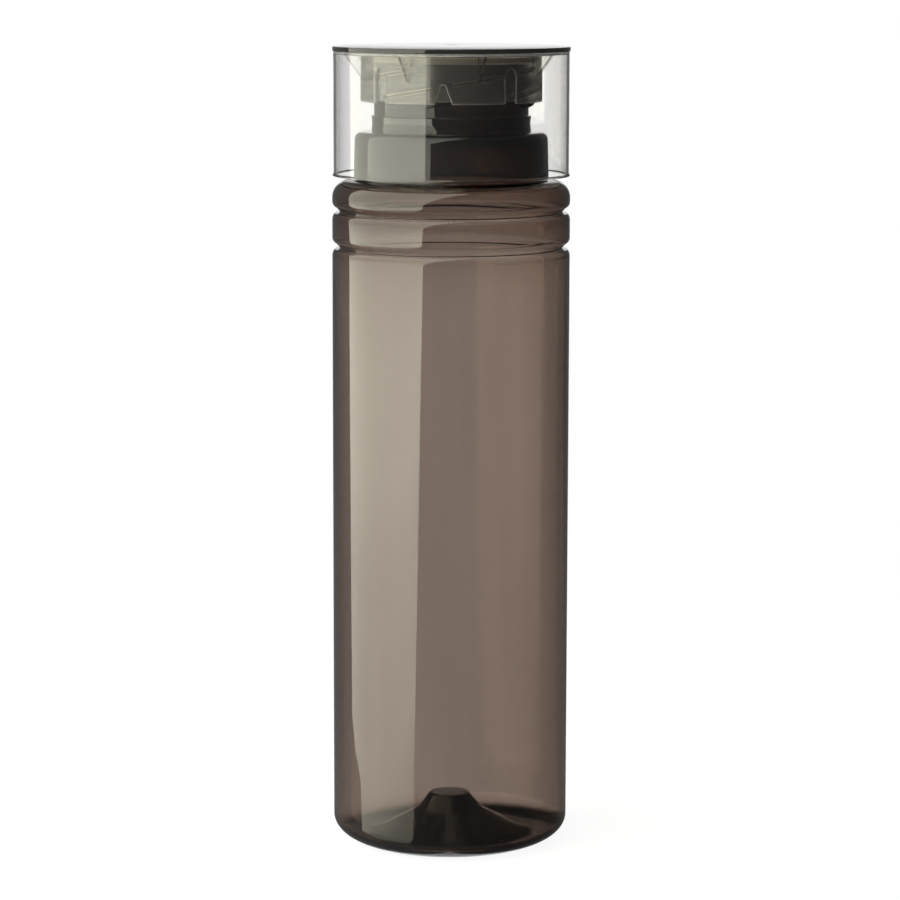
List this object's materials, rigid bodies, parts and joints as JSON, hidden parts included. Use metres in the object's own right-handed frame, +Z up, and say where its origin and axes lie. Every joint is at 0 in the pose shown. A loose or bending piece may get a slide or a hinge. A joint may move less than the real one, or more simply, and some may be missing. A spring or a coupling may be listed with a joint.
{
  "type": "water bottle",
  "caption": "Smoke-tinted see-through plastic drinking bottle with a grooved shoulder, a wide threaded neck and a screw cap inside a clear sleeve.",
  "frame": {"origin": "on the bottle's axis, in the plane that the bottle stands on", "axes": "+Z up along the bottle's axis; -Y is the front, the side that the picture shows"},
  "size_m": [0.075, 0.075, 0.2537],
  "materials": {
    "smoke_plastic_body": "clear smoke-grey tinted plastic, high gloss",
    "smoke_plastic_cap": "clear smoke-grey tinted plastic, high gloss",
    "clear_plastic": "clear untinted plastic, high gloss",
    "silicone": "translucent grey silicone, satin"
  },
  "bodies": {
    "bottle": {"bottle_body": "smoke_plastic_body"},
    "seal": {"cap_seal": "silicone"},
    "cap": {"screw_cap": "smoke_plastic_cap", "cap_sleeve": "clear_plastic"}
  },
  "joints": [
    {"name": "cap_lift", "type": "slide", "parent": "bottle", "child": "seal", "axis": [0, 0, 1], "range_m": [0, 0.04125]},
    {"name": "cap_turn", "type": "hinge", "parent": "seal", "child": "cap", "pos_m": [0, 0, 0.2537], "axis": [0, 0, 1], "range_deg": [0, 540]}
  ],
  "couplings": [
    {"joint": "cap_lift", "follows": "cap_turn", "m_per_rad": 0.0043768}
  ]
}
